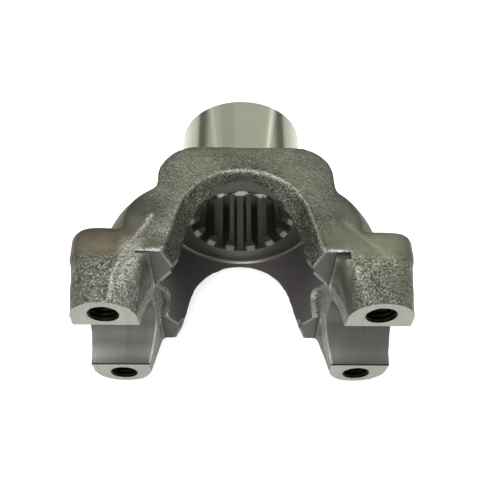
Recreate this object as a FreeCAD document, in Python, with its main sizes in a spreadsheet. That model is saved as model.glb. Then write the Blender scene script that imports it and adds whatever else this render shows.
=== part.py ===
# Half-round end yoke with a splined hub, forged in one piece and then machined.
#
# Frame, in millimetres: the cross axis of the joint lies along X and the hub axis along Y.
# They meet at the origin, on the plane of the four bolt faces. The hub runs towards +Y.
# Z is up, and the yoke lies on the flat underside of its forging.

import FreeCAD, Part
import os
import Sketcher

os.makedirs("parts", exist_ok=True)

doc = FreeCAD.newDocument("yoke")
sheet = doc.addObject("Spreadsheet::Sheet", "Sheet")

# Driving sizes. Lengths are in millimetres and angles in degrees.
SIZES = {
    # ears, which carry the two bearing caps
    "ear_span": 118.7,
    "ear_gap": 72.0,
    "ear_height": 69.6,
    "ear_draft": 4.5,
    "ear_inner_draft": 10.0,
    "ear_corner": 11.6,
    # half-round saddles and the tapped holes beside them
    "cap_bore": 34.92,
    "saddle_chamfer": 0.5,
    "bolt_across": 94.8,
    "bolt_rise": 52.0,
    "tap_drill": 9.9,
    "tap_mouth": 10.9,
    "tap_depth": 22.0,
    # web, the block between the ears and the hub, and the round shoulder that it stands on
    "web_width": 66.2,
    "web_height": 71.6,
    "web_front": 19.7,
    "web_back": 67.4,
    "web_corner": 15.0,
    "shoulder_diameter": 109.6,
    "shoulder_bend": 20.4,
    "shoulder_back": 52.6,
    # roots, where the ears grow out of the web
    "root_depth": 9.5,
    "root_inside": 30.0,
    "root_corner": 9.5,
    "arm_height": 36.0,
    "arm_back": 41.0,
    "arm_inside": 40.0,
    # throat, which clears the cross: a window through the flats and a round pocket along the hub axis
    "window_radius": 24.3,
    "window_apex": 56.3,
    "window_flare": 13.0,
    "window_depth": 16.0,
    "window_side_lean": 3.2,
    "window_apex_lean": 10.0,
    "pocket_mouth": 66.0,
    "seat_diameter": 62.8,
    "seat_wall": 10.8,
    "hollow_diameter": 68.6,
    "hollow_back": 30.0,
    "hollow_angle": 48.0,
    # hub, with a narrow turned collar at the web that stops the seal
    "collar_diameter": 57.0,
    "collar_back": 68.6,
    "hub_diameter": 52.8,
    "hub_end": 102.1,
    "hub_chamfer": 1.2,
    # splined bore
    "tooth_count": 14,
    "root_diameter": 43.4,
    "tip_diameter": 34.8,
    "gap_at_root": 3.3,
    "gap_at_tip": 5.4,
    "mouth_diameter": 43.8,
    "lead_angle": 120.0,
    "pilot_diameter": 45.0,
    "pilot_depth": 13.7,
    # how far a cut runs past the material that it removes
    "overrun": 2.0,
}
# Sizes that follow from the ones above
TIED = {
    # the seat's place along the hub axis, which leaves the wall behind the nut at its thickness
    "seat_place": "=web_back - seat_wall",
}
for row, (word, value) in enumerate({**SIZES, **TIED}.items(), start=1):
    sheet.set(f"A{row}", word)
    sheet.set(f"B{row}", str(value))
    sheet.setAlias(f"B{row}", word)
doc.recompute()

yoke = doc.addObject("PartDesign::Body", "yoke_flange")
yoke.Label = "yoke_flange"


def bind(thing, name, formula):
    """Ties one property of an object to the sheet."""
    thing.setExpression(name, formula)


def plane(role):
    """Finds one of the body's own origin planes or axes."""
    return next(item for item in yoke.Origin.OriginFeatures if item.Role == role)


def sketch_on(role, name, offset=None):
    """Attaches a new sketch to an origin plane, lifted along the plane's normal by a formula."""
    sketch = yoke.newObject("Sketcher::SketchObject", name)
    sketch.AttachmentSupport = [(plane(role), "")]
    sketch.MapMode = "FlatFace"
    if offset:
        bind(sketch, "AttachmentOffset.Base.z", offset)
    doc.recompute()
    return sketch


def fix(sketch, piece, end, across, up):
    """Places one end of a sketch curve by two formulas, or on an axis where the formula is 0."""
    for kind, formula, axis in (("DistanceX", across, -2), ("DistanceY", up, -1)):
        if formula == "0":
            sketch.addConstraint(Sketcher.Constraint("PointOnObject", piece, end, axis))
        else:
            value = float(sketch.evalExpression(formula))
            number = sketch.addConstraint(Sketcher.Constraint(kind, -1, 1, piece, end, value))
            bind(sketch, f"Constraints[{number}]", formula)


def outline(sketch, corners):
    """Draws a closed outline through corners given as (across, up, radius of the arc to the next corner).

    A radius of None gives a straight side. An arc turns left from its corner to the next one,
    or right where its radius is written with a leading minus.
    """
    spots = [tuple(float(sketch.evalExpression(formula)) for formula in corner[:2]) for corner in corners]
    first = sketch.GeometryCount
    for number, corner in enumerate(corners):
        start = FreeCAD.Vector(*spots[number], 0)
        end = FreeCAD.Vector(*spots[(number + 1) % len(spots)], 0)
        if corner[2] is None:
            sketch.addGeometry(Part.LineSegment(start, end), False)
            continue
        radius = float(sketch.evalExpression(corner[2]))
        chord = end - start
        reach = (max(radius * radius - chord.Length * chord.Length / 4, 0)) ** 0.5
        side = FreeCAD.Vector(-chord.y, chord.x, 0).normalize() * (reach if radius > 0 else -reach)
        centre = (start + end) * 0.5 + side
        middle = centre - side.normalize() * abs(radius) if reach else None
        if middle is None:
            away = FreeCAD.Vector(chord.y, -chord.x, 0).normalize() * radius
            middle = centre + away
        sketch.addGeometry(Part.Arc(start, middle, end), False)
    # An arc keeps its two ends in the order of its own turning, so its start is matched by place.
    ends = []
    for number in range(len(corners)):
        here = FreeCAD.Vector(*spots[number], 0)
        forward = sketch.getPoint(first + number, 1).distanceToPoint(here) < 1e-4
        ends.append((1, 2) if forward else (2, 1))
    for number, corner in enumerate(corners):
        piece = first + number
        after = first + (number + 1) % len(corners)
        fix(sketch, piece, ends[number][0], corner[0], corner[1])
        sketch.addConstraint(Sketcher.Constraint(
            "Coincident", piece, ends[number][1], after, ends[(number + 1) % len(corners)][0]))
        if corner[2] is not None:
            size = corner[2].lstrip("-")
            value = float(sketch.evalExpression(size))
            constraint = sketch.addConstraint(Sketcher.Constraint("Radius", piece, value))
            bind(sketch, f"Constraints[{constraint}]", size)


def circle(sketch, across, up, radius):
    """Draws a circle by three formulas."""
    centre = FreeCAD.Vector(float(sketch.evalExpression(across)), float(sketch.evalExpression(up)), 0)
    value = float(sketch.evalExpression(radius))
    piece = sketch.addGeometry(Part.Circle(centre, FreeCAD.Vector(0, 0, 1), value), False)
    if (across, up) == ("0", "0"):
        sketch.addConstraint(Sketcher.Constraint("Coincident", piece, 3, -1, 1))
    else:
        fix(sketch, piece, 3, across, up)
    number = sketch.addConstraint(Sketcher.Constraint("Radius", piece, value))
    bind(sketch, f"Constraints[{number}]", radius)


def finish(step, adds):
    """Recomputes after a step and stops if it failed or worked the wrong way."""
    before = finish.volume
    doc.recompute()
    if {"Invalid", "Error"} & set(step.State) or step.Shape.isNull() or not step.Shape.isValid():
        raise RuntimeError(f"{step.Name} failed: {step.State}")
    after = step.Shape.Volume
    if (after > before) != adds or abs(after - before) < 1e-3:
        raise RuntimeError(f"{step.Name} worked the wrong way: {before:.1f} to {after:.1f}")
    finish.volume = after
    print(f"{step.Name}: {after:.0f} cubic mm")


finish.volume = 0.0


def pad(name, sketch, length, both_ways=False, reverse=False, draft=None):
    """Pads a sketch by a formula, with an optional outward draft."""
    step = yoke.newObject("PartDesign::Pad", name)
    step.Profile = sketch
    step.SideType = "Symmetric" if both_ways else "One side"
    step.Reversed = reverse
    bind(step, "Length", length)
    if draft:
        bind(step, "TaperAngle", draft)
    finish(step, True)
    return step


def cut(name, sketch, length, both_ways=False, reverse=False):
    """Pockets a sketch by a formula."""
    step = yoke.newObject("PartDesign::Pocket", name)
    step.Profile = sketch
    step.SideType = "Symmetric" if both_ways else "One side"
    step.Reversed = reverse
    bind(step, "Length", length)
    finish(step, False)
    return step


def turn(kind, name, sketch, adds, angle=None):
    """Turns a sketch on the XY plane about the hub axis, all round or by a formula to both sides together."""
    step = yoke.newObject(f"PartDesign::{kind}", name)
    step.Profile = sketch
    step.ReferenceAxis = (sketch, ["V_Axis"])
    step.Angle = 360
    if angle:
        step.Midplane = True
        bind(step, "Angle", angle)
    finish(step, adds)
    return step


def loft(kind, name, start, end, adds):
    """Joins two sketches of like corners with ruled faces."""
    step = yoke.newObject(f"PartDesign::{kind}", name)
    step.Profile = start
    step.Sections = [end]
    step.Ruled = True
    finish(step, adds)
    return step


def mirror(name, step, role, adds):
    """Mirrors a step in one of the origin planes."""
    copy = yoke.newObject("PartDesign::Mirrored", name)
    copy.Originals = [step]
    copy.MirrorPlane = (plane(role), [""])
    yoke.Tip = copy
    finish(copy, adds)
    return copy


# Shoulder, collar and hub, turned about the hub axis
shoulder = sketch_on("XY_Plane", "shoulder_profile")
outline(shoulder, [
    ("0", "Sheet.web_front", None),
    ("Sheet.shoulder_diameter / 2", "Sheet.web_front", None),
    ("Sheet.shoulder_diameter / 2", "Sheet.shoulder_back - Sheet.shoulder_bend", "Sheet.shoulder_bend"),
    ("Sheet.shoulder_diameter / 2 - Sheet.shoulder_bend", "Sheet.shoulder_back", None),
    ("Sheet.collar_diameter / 2", "Sheet.shoulder_back", None),
    ("Sheet.collar_diameter / 2", "Sheet.collar_back", None),
    ("Sheet.hub_diameter / 2", "Sheet.collar_back", None),
    ("Sheet.hub_diameter / 2", "Sheet.hub_end - Sheet.hub_chamfer", None),
    ("Sheet.hub_diameter / 2 - Sheet.hub_chamfer", "Sheet.hub_end", None),
    ("0", "Sheet.hub_end", None),
])
turn("Revolution", "shoulder_and_hub", shoulder, True)

# Web, a block with two rounded corners at the hub
web = sketch_on("XY_Plane", "web_profile")
half_web = "Sheet.web_width / 2"
outline(web, [
    (f"-{half_web}", "Sheet.web_front", None),
    (half_web, "Sheet.web_front", None),
    (half_web, "Sheet.web_back - Sheet.web_corner", "Sheet.web_corner"),
    (f"{half_web} - Sheet.web_corner", "Sheet.web_back", None),
    (f"-{half_web} + Sheet.web_corner", "Sheet.web_back", "Sheet.web_corner"),
    (f"-{half_web}", "Sheet.web_back - Sheet.web_corner", None),
])
pad("web", web, "Sheet.web_height", both_ways=True)

# Ear, a round-ended column that widens from the bolt faces to its root
ear = sketch_on("XZ_Plane", "ear_profile")
inner = "Sheet.ear_gap / 2"
outer = "Sheet.ear_span / 2"
high = "Sheet.ear_height / 2"
outline(ear, [
    (inner, f"-{high} + Sheet.ear_corner", "Sheet.ear_corner"),
    (f"{inner} + Sheet.ear_corner", f"-{high}", None),
    (f"{outer} - Sheet.ear_corner", f"-{high}", "Sheet.ear_corner"),
    (outer, f"-{high} + Sheet.ear_corner", None),
    (outer, f"{high} - Sheet.ear_corner", "Sheet.ear_corner"),
    (f"{outer} - Sheet.ear_corner", high, None),
    (f"{inner} + Sheet.ear_corner", high, "Sheet.ear_corner"),
    (inner, f"{high} - Sheet.ear_corner", None),
])
right_ear = pad("right_ear", ear, "Sheet.web_front", reverse=True, draft="Sheet.ear_draft")
mirror("left_ear", right_ear, "YZ_Plane", True)

# Gusset, which thickens the inner side of each ear towards the web
widen = "Sheet.web_front * tan(Sheet.ear_draft)"
narrow = "Sheet.web_front * tan(Sheet.ear_inner_draft)"
gusset_sections = (
    ("gusset_front", None, inner, f"({high} - Sheet.ear_corner)"),
    ("gusset_back", "-Sheet.web_front", f"({inner} - {narrow})", f"({high} + {widen})"),
)
sections = []
for name, offset, inside, top in gusset_sections:
    section = sketch_on("XZ_Plane", name, offset)
    outline(section, [
        (inside, f"-{top}", None),
        (f"{inner} + Sheet.ear_corner", f"-{top}", None),
        (f"{inner} + Sheet.ear_corner", top, None),
        (inside, top, None),
    ])
    sections.append(section)
right_gusset = loft("AdditiveLoft", "right_gusset", sections[0], sections[1], True)
mirror("left_gusset", right_gusset, "YZ_Plane", True)

# Root, which carries the flats outwards to the back of each ear
root = sketch_on("XZ_Plane", "root_profile", "-Sheet.web_front")
edge = f"({outer} + {widen})"
top = "Sheet.web_height / 2"
outline(root, [
    ("Sheet.root_inside", f"-{top}", None),
    (f"{edge} - Sheet.root_corner", f"-{top}", "Sheet.root_corner"),
    (edge, f"-{top} + Sheet.root_corner", None),
    (edge, f"{top} - Sheet.root_corner", "Sheet.root_corner"),
    (f"{edge} - Sheet.root_corner", top, None),
    ("Sheet.root_inside", top, None),
])
right_root = pad("right_root", root, "Sheet.root_depth", reverse=True)
mirror("left_root", right_root, "YZ_Plane", True)

# Arm, the middle of each ear, which runs back into the side of the web
arm = sketch_on("XY_Plane", "arm_profile")
outline(arm, [
    ("Sheet.arm_inside", "Sheet.web_front", None),
    (edge, "Sheet.web_front", None),
    (edge, "Sheet.web_front + Sheet.root_depth", None),
    ("Sheet.shoulder_diameter / 2", "Sheet.arm_back", None),
    ("Sheet.arm_inside", "Sheet.arm_back", None),
])
right_arm = pad("right_arm", arm, "Sheet.arm_height", both_ways=True)
mirror("left_arm", right_arm, "YZ_Plane", True)

# Flats above and below, which trim the shoulder and the backs of the ears
flats = sketch_on("YZ_Plane", "flats_profile")
for sign in ("", "-"):
    near = f"{sign}Sheet.web_height / 2"
    far = f"{near} {sign or '+'} Sheet.shoulder_diameter"
    outline(flats, [
        ("-Sheet.overrun", near, None),
        ("Sheet.web_back + Sheet.overrun", near, None),
        ("Sheet.web_back + Sheet.overrun", far, None),
        ("-Sheet.overrun", far, None),
    ])
cut("flats", flats, "Sheet.ear_span + 10 * Sheet.overrun", both_ways=True)


def window_corners(radius, apex):
    """Gives the throat window's outline: an arch with legs that flare towards the ears."""
    centre = f"({apex} - {radius})"
    leg_x = f"{radius} * cos(Sheet.window_flare)"
    leg_y = f"({centre} + {radius} * sin(Sheet.window_flare))"
    mouth_y = "Sheet.web_front - Sheet.overrun"
    mouth_x = f"({leg_x} + ({leg_y} - ({mouth_y})) * tan(Sheet.window_flare))"
    return [
        (mouth_x, mouth_y, None),
        (leg_x, leg_y, radius),
        (f"-{leg_x}", leg_y, None),
        (f"-{mouth_x}", mouth_y, None),
    ]


# Throat window, widest at the flats and leaning inwards below them
narrow_radius = "(Sheet.window_radius - Sheet.window_side_lean)"
narrow_apex = "(Sheet.window_apex - Sheet.window_apex_lean)"
through = sketch_on("XY_Plane", "window_profile")
outline(through, window_corners(narrow_radius, narrow_apex))
cut("window", through, "Sheet.web_height + Sheet.overrun", both_ways=True)

lip = sketch_on("XY_Plane", "lip_wide", "Sheet.web_height / 2")
outline(lip, window_corners("Sheet.window_radius", "Sheet.window_apex"))
lip_end = sketch_on("XY_Plane", "lip_narrow", "Sheet.web_height / 2 - Sheet.window_depth")
outline(lip_end, window_corners(narrow_radius, narrow_apex))
upper_lip = loft("SubtractiveLoft", "upper_lip", lip, lip_end, False)
mirror("lower_lip", upper_lip, "XY_Plane", False)

# Round pocket along the hub axis, whose floor is the seat for the nut
pocket = sketch_on("XY_Plane", "pocket_profile")
outline(pocket, [
    ("0", "Sheet.web_front", None),
    ("Sheet.pocket_mouth / 2", "Sheet.web_front", None),
    ("Sheet.seat_diameter / 2", "Sheet.seat_place", None),
    ("0", "Sheet.seat_place", None),
])
turn("Groove", "seat_pocket", pocket, False)

# Hollow behind each saddle, where the forging lies deeper than the turned pocket
hollow = sketch_on("XY_Plane", "hollow_profile")
outline(hollow, [
    ("Sheet.root_inside", "Sheet.web_front - Sheet.overrun", None),
    ("Sheet.hollow_diameter / 2", "Sheet.web_front - Sheet.overrun", None),
    ("Sheet.hollow_diameter / 2", "Sheet.hollow_back", None),
    ("Sheet.root_inside", "Sheet.hollow_back", None),
])
right_hollow = turn("Groove", "right_hollow", hollow, False, "Sheet.hollow_angle")
mirror("left_hollow", right_hollow, "YZ_Plane", False)

# Saddles for the bearing caps, with a small chamfer at the bolt faces
saddle = sketch_on("YZ_Plane", "saddle_profile")
bore = "Sheet.cap_bore / 2"
lead = "Sheet.saddle_chamfer"
outline(saddle, [
    ("0", f"-{bore} - {lead}", None),
    (lead, f"-sqrt({bore} * {bore} - {lead} * {lead})", bore),
    (lead, f"sqrt({bore} * {bore} - {lead} * {lead})", None),
    ("0", f"{bore} + {lead}", None),
    ("-Sheet.overrun", f"{bore} + {lead}", None),
    ("-Sheet.overrun", f"-{bore} - {lead}", None),
])
cut("saddles", saddle, "Sheet.ear_span + 10 * Sheet.overrun", both_ways=True)

# Tapped holes, one in each bolt face, drilled to the size under the thread
taps = sketch_on("XZ_Plane", "tap_places")
for across in ("", "-"):
    for up in ("", "-"):
        circle(taps, f"{across}Sheet.bolt_across / 2", f"{up}Sheet.bolt_rise / 2", "Sheet.tap_drill / 2")
doc.recompute()
holes = yoke.newObject("PartDesign::Hole", "tapped_holes")
holes.Profile = taps
doc.recompute()
holes.ThreadType = "None"
holes.DepthType = "Dimension"
holes.DrillPoint = "Flat"
holes.HoleCutType = "Countersink"
holes.HoleCutCountersinkAngle = 90
bind(holes, "Diameter", "Sheet.tap_drill")
bind(holes, "HoleCutDiameter", "Sheet.tap_mouth")
bind(holes, "Depth", "Sheet.tap_depth")
finish(holes, False)

# Bore at the tips of the spline teeth
tips = sketch_on("XZ_Plane", "tip_circle", "-Sheet.seat_place + Sheet.overrun")
circle(tips, "0", "0", "Sheet.tip_diameter / 2")
cut("tip_bore", tips, "Sheet.hub_end - Sheet.seat_place + 2 * Sheet.overrun")

# Gaps between the spline teeth, the first one straight down
gap = sketch_on("XZ_Plane", "gap_profile", "-Sheet.seat_place + Sheet.overrun")
gap_floor = "-sqrt(Sheet.root_diameter * Sheet.root_diameter - Sheet.gap_at_root * Sheet.gap_at_root) / 2"
gap_mouth = "-sqrt(Sheet.tip_diameter * Sheet.tip_diameter - Sheet.gap_at_tip * Sheet.gap_at_tip) / 2"
outline(gap, [
    ("-Sheet.gap_at_root / 2", gap_floor, "Sheet.root_diameter / 2"),
    ("Sheet.gap_at_root / 2", gap_floor, None),
    ("Sheet.gap_at_tip / 2", gap_mouth, None),
    ("Sheet.gap_at_tip / 2", f"{gap_mouth} + Sheet.overrun", None),
    ("-Sheet.gap_at_tip / 2", f"{gap_mouth} + Sheet.overrun", None),
    ("-Sheet.gap_at_tip / 2", gap_mouth, None),
])
first_gap = cut("first_gap", gap, "Sheet.hub_end - Sheet.seat_place + 2 * Sheet.overrun")
spline = yoke.newObject("PartDesign::PolarPattern", "spline")
spline.Originals = [first_gap]
spline.Axis = (plane("Y_Axis"), [""])
spline.Angle = 360
bind(spline, "Occurrences", "Sheet.tooth_count")
yoke.Tip = spline
finish(spline, False)

# Conical lead-in on the tooth ends and a smooth pilot bore at the hub's end
lead_in = sketch_on("XY_Plane", "lead_profile")
outline(lead_in, [
    ("0", "Sheet.seat_place - Sheet.overrun", None),
    ("Sheet.mouth_diameter / 2", "Sheet.seat_place - Sheet.overrun", None),
    ("Sheet.mouth_diameter / 2", "Sheet.seat_place", None),
    ("0", "Sheet.seat_place + Sheet.mouth_diameter / 2 / tan(Sheet.lead_angle / 2)", None),
])
turn("Groove", "lead_in", lead_in, False)

pilot = sketch_on("XY_Plane", "pilot_profile")
outline(pilot, [
    ("0", "Sheet.hub_end - Sheet.pilot_depth - Sheet.pilot_diameter / 2 / tan(Sheet.lead_angle / 2)", None),
    ("Sheet.pilot_diameter / 2", "Sheet.hub_end - Sheet.pilot_depth", None),
    ("Sheet.pilot_diameter / 2", "Sheet.hub_end - Sheet.hub_chamfer", None),
    ("Sheet.pilot_diameter / 2 + Sheet.hub_chamfer", "Sheet.hub_end", None),
    ("Sheet.pilot_diameter / 2 + Sheet.hub_chamfer", "Sheet.hub_end + Sheet.overrun", None),
    ("0", "Sheet.hub_end + Sheet.overrun", None),
])
turn("Groove", "pilot_bore", pilot, False)

# Nothing is written unless every object of the document is sound.
doc.recompute()
for item in doc.Objects:
    if {"Invalid", "Error"} & set(item.State):
        raise RuntimeError(f"{item.Name} is in error: {item.State}")
for body in (yoke,):
    if body.Shape.isNull() or not body.Shape.isValid() or len(body.Shape.Solids) != 1:
        raise RuntimeError(f"{body.Label} has no sound single solid")
    body.Shape.exportStep(f"parts/{body.Label}.step")
    print(body.Label, "box", body.Shape.BoundBox, "volume", round(body.Shape.Volume))
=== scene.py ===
"""Looks for the half-round end yoke: a forged skin with real grain, and every machined face cut into it.

The forging is a signed distance field on a voxel grid, meshed and then machined with exact cutters.
The piece is made in millimetres and scaled at the end. Materials, lamps and camera are in metres.
The frame is the CAD part's: cross axis along X, hub axis along Y, both through the origin, Z up.
"""

import math

import bmesh
import bpy
import numpy as np
import openvdb
from mathutils import Matrix, Vector


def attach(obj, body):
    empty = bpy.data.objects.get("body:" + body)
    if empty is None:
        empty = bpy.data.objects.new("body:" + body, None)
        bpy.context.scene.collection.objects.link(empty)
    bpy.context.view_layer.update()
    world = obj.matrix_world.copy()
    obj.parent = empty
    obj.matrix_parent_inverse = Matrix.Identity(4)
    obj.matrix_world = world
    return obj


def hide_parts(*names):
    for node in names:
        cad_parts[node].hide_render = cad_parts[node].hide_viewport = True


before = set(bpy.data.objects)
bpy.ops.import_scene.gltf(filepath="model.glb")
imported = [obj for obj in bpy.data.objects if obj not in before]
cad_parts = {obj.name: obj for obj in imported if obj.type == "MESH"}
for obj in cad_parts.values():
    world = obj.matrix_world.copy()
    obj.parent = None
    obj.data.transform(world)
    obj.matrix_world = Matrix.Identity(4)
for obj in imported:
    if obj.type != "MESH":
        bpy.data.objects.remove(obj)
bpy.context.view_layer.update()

MM = 0.001

# Sizes of the solid, which the looks follow
EAR_INSIDE, EAR_OUTSIDE, EAR_HALF_HEIGHT, EAR_CORNER = 36.0, 59.35, 34.8, 11.6
EAR_BACK, EAR_DRAFT, EAR_INNER_DRAFT = 28.0, math.radians(4.3), math.radians(10.0)
WEB_HALF, WEB_BACK, WEB_CORNER = 33.6, 68.6, 15.0
FLAT, STEP_PLANE, STEP_HALF = 35.8, 19.7, 32.4
SHOULDER_RADIUS, SHOULDER_BACK, SHOULDER_BEND = 55.2, 53.0, 20.4
SLAB_HALF, SLAB_BACK, SLAB_CORNER = 60.9, 29.6, 9.5
ARM_HALF_HEIGHT, ARM_BACK = 18.0, 41.0
WINDOW_RADIUS, WINDOW_APEX, WINDOW_FLARE = 24.3, 56.3, math.radians(13.0)
WINDOW_DEPTH, WINDOW_SIDE_LEAN, WINDOW_APEX_LEAN = 16.0, 3.2, 10.0
POCKET_MOUTH, SEAT_RADIUS, SEAT = 33.0, 31.4, 56.6
HOLLOW_RADIUS, HOLLOW_HALF, HOLLOW_REACH, HOLLOW_SPREAD = 34.3, 14.4, 27.0, 0.36
SADDLE_RADIUS, SADDLE_CHAMFER = 17.46, 0.5
BOLT_X, BOLT_Z, TAP_MINOR, TAP_DEPTH = 47.4, 26.0, 4.95, 22.0
HUB_RADIUS, HUB_END, HUB_CHAMFER = 26.4, 102.1, 1.2
COLLAR_RADIUS, COLLAR_BACK = 28.5, 68.6
TEETH, ROOT_RADIUS, TIP_RADIUS, ROOT_GAP, TIP_GAP = 14, 21.7, 17.4, 3.3, 5.4
MOUTH_RADIUS, LEAD_SLOPE = 21.9, math.tan(math.radians(60.0))
PILOT_RADIUS, PILOT_START = 22.5, 88.4

# Sizes that only the looks have
EAR_ROOT_CORNER, EAR_BACK_CORNER = 2.0, 8.0
WEB_START, WEB_SHIFT, SLAB_SKEW = 10.0, 1.3, 0.012
ARM_SLOPE = (0.831, 0.556)
FRONT_STOCK = 0.35
LEAF_TIP, LEAF_TIP_WEAR = (23.0, 22.4), 2.9
POCKET_FLARE, POCKET_AHEAD = 0.0865, 2.0
SEAT_RIM = ((0.05, -1.0), (-0.3, -0.28), (-1.0, 0.0))
NOTCH_END, NOTCH_OVERLAP = 37.3, 0.1
LEFT_NOTCH, RIGHT_NOTCH = (18.7, 34.8), (17.0, 33.4)
COLLAR_START, HUB_EDGE = 3.0, 0.4
TOOTH_EASE = 0.008
TAP_MAJOR, TAP_MOUTH, TAP_PITCH, TAP_AHEAD = 5.56, 5.45, 1.81, 0.9
THREAD_SHORT, PLAIN_LENGTH, THREAD_CREST, THREAD_SLOPE = 1.5, 1.2, 1.35, 4.0
DRILL_POINT_RADIUS, DRILL_POINT_LENGTH = 0.3, 2.8

# Reaches of the forging's fillets, and of its rounded edges
WEB_FILLET, SLAB_FILLET, ARM_FILLET, EAR_FILLET = 2.0, 2.5, 4.0, 3.0
SLAB_ROUND, ARM_BACK_ROUND, ARM_SIDE_ROUND, ARM_TOP_ROUND, EAR_ROUND = 3.0, 4.0, 3.0, 6.0, 3.0
FRONT_ROUND, FLAT_ROUND, WINDOW_ROUND = 0.8, 1.6, 0.7
HOLLOW_ROUND, HOLLOW_CORNER, LEAF_TIP_ROUND = 0.8, 6.0, 0.8

# Heights of the skin's waves and bumps, and how much of the bumps smooth and rough skin have
LONG_WAVE, SHORT_WAVE, BUMP = 0.08, 0.035, 0.06
SMOOTH_BUMPS, ROUGH_BUMPS = 0.2, 1.2

# Where the ears' rough columns start, and how rough each part of the skin is, where 1 is the roughest
LEFT_COLUMN, RIGHT_COLUMN, COLUMN_BLUR = 35.0, 37.5, 0.8
PLATEAU_GRAIN, HOLLOW_GRAIN, SADDLE_RIM_GRAIN, LEAST_GRAIN = 0.45, 0.9, 0.9, 0.04

# The ears' ridges, along which a highlight is painted on the flats, as points in X and Y
RIGHT_RIDGE = ((36.5, 32.5), (41.3, 26.9), (47.6, 20.7), (52.4, 15.4))
LEFT_RIDGE = (
    (44.2, 0.0), (44.1, 10.0), (42.6, 15.1), (40.7, 20.0), (37.8, 25.4), (34.7, 30.6), (32.6, 35.0),
)

# How bright each mark is painted, where 1 is bare steel, and the width of the painted highlight round the
# hollow's edge
LEFT_RIDGE_HIGHLIGHT, RIGHT_RIDGE_HIGHLIGHT = 0.7, 0.25
LEFT_PATCH_BRIGHTENING, RIGHT_PATCH_BRIGHTENING = 0.55, 0.1
HOLLOW_BARE_AND_LIT, SADDLE_RIM_WEAR, SADDLE_EDGE_HIGHLIGHT, HOLLOW_HIGHLIGHT_EDGE = 0.75, 0.4, 0.7, 0.9

# Voxel grid for the forging
CELL = 0.7
GRID_LOW = np.array([-64.0, -4.0, -38.0])
GRID_HIGH = np.array([64.0, 71.0, 38.0])
BAND = 3.0 * CELL

# What the skin lies below the solid's faces, to leave room for its bumps
SKIN = 0.3

# Sides of round tools, points on the saddle, sides and rows per turn of the threads
ROUND_SIDES, SADDLE_POINTS, THREAD_SIDES, THREAD_ROWS = 160, 73, 36, 7

# How far the cutters reach past the piece
PAST_X, PAST_FRONT, PAST_Z, SADDLE_BAR, SADDLE_AHEAD, OVERCUT = 80.0, 20.0, 60.0, 75.0, 3.0, 1.0

# A face of the saddles' cutter is a chamfer if it lies no further inside the round than this
BESIDE = 0.1

# Edges of machined faces are sharp above this angle
SHARP_ANGLE = math.radians(28.0)


# ---- shapes of the forging ----


def smooth_min(a, b, reach):
    """Joins two distance fields with a fillet of about that reach."""
    blend = np.clip(0.5 + 0.5 * (b - a) / reach, 0.0, 1.0)
    return b * (1.0 - blend) + a * blend - reach * blend * (1.0 - blend)


def smooth_max(a, b, reach):
    """Keeps what two distance fields share, with a rounded edge of about that reach."""
    return -smooth_min(-a, -b, reach)


def rise(value, low, high):
    """Rises from 0 at the low end to 1 at the high end."""
    return np.clip((value - low) / (high - low), 0.0, 1.0)


def fall(value, low, high):
    """Falls from 1 at the low end to 0 at the high end."""
    return rise(-value, -high, -low)


def line(away, width, core):
    """Marks a line by the distance from it: core in its middle, falling to 0 at core times width."""
    return core - away / width


def round_rect(across, up, half_across, half_up, corner):
    """Distance to a rectangle about the origin with rounded corners."""
    qx = np.abs(across) - (half_across - corner)
    qy = np.abs(up) - (half_up - corner)
    outside = np.sqrt(np.maximum(qx, 0.0) ** 2 + np.maximum(qy, 0.0) ** 2)
    return outside + np.minimum(np.maximum(qx, qy), 0.0) - corner


def path_distance(x, y, points):
    """Distance in the XY plane to a line through the given points."""
    away = np.full(np.shape(x), np.inf)
    for (x0, y0), (x1, y1) in zip(points, points[1:]):
        dx, dy = x1 - x0, y1 - y0
        along = np.clip(((x - x0) * dx + (y - y0) * dy) / (dx * dx + dy * dy), 0.0, 1.0)
        away = np.minimum(away, np.hypot(x - x0 - along * dx, y - y0 - along * dy))
    return away


def noise(shape, cell, seed):
    """Smooth random field of about unit size, with features of the given size in millimetres."""
    rng = np.random.default_rng(seed)
    ratio = CELL / cell
    counts = [int(math.ceil(n * ratio)) + 4 for n in shape]
    field = rng.standard_normal(counts).astype(np.float32)
    for axis, n in enumerate(shape):
        place = np.arange(n) * ratio + 1.0
        base = np.floor(place).astype(int)
        t = (place - base).astype(np.float32)
        # Cubic B-spline weights of the four nearest random values
        weights = np.zeros((n, counts[axis]), dtype=np.float32)
        rows = np.arange(n)
        weights[rows, base - 1] = (1 - t) ** 3 / 6
        weights[rows, base] = (3 * t ** 3 - 6 * t ** 2 + 4) / 6
        weights[rows, base + 1] = (-3 * t ** 3 + 3 * t ** 2 + 3 * t + 1) / 6
        weights[rows, base + 2] = t ** 3 / 6
        field = np.moveaxis(np.tensordot(weights, np.moveaxis(field, axis, 0), axes=(1, 0)), 0, axis)
    return field / field.std()


def window(x, y, z):
    """Distance to the throat window, an arch with flared legs whose walls lean in below the flats."""
    deep = np.clip((FLAT - np.abs(z)) / WINDOW_DEPTH, 0.0, 1.0)
    radius = WINDOW_RADIUS - WINDOW_SIDE_LEAN * deep
    up = y - (WINDOW_APEX - WINDOW_APEX_LEAN * deep - radius)
    across = np.abs(x)
    arch = np.sqrt(across ** 2 + up ** 2) - radius
    leg = across * math.cos(WINDOW_FLARE) + up * math.sin(WINDOW_FLARE) - radius
    return np.where(up > across * math.tan(WINDOW_FLARE), arch, leg)


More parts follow.
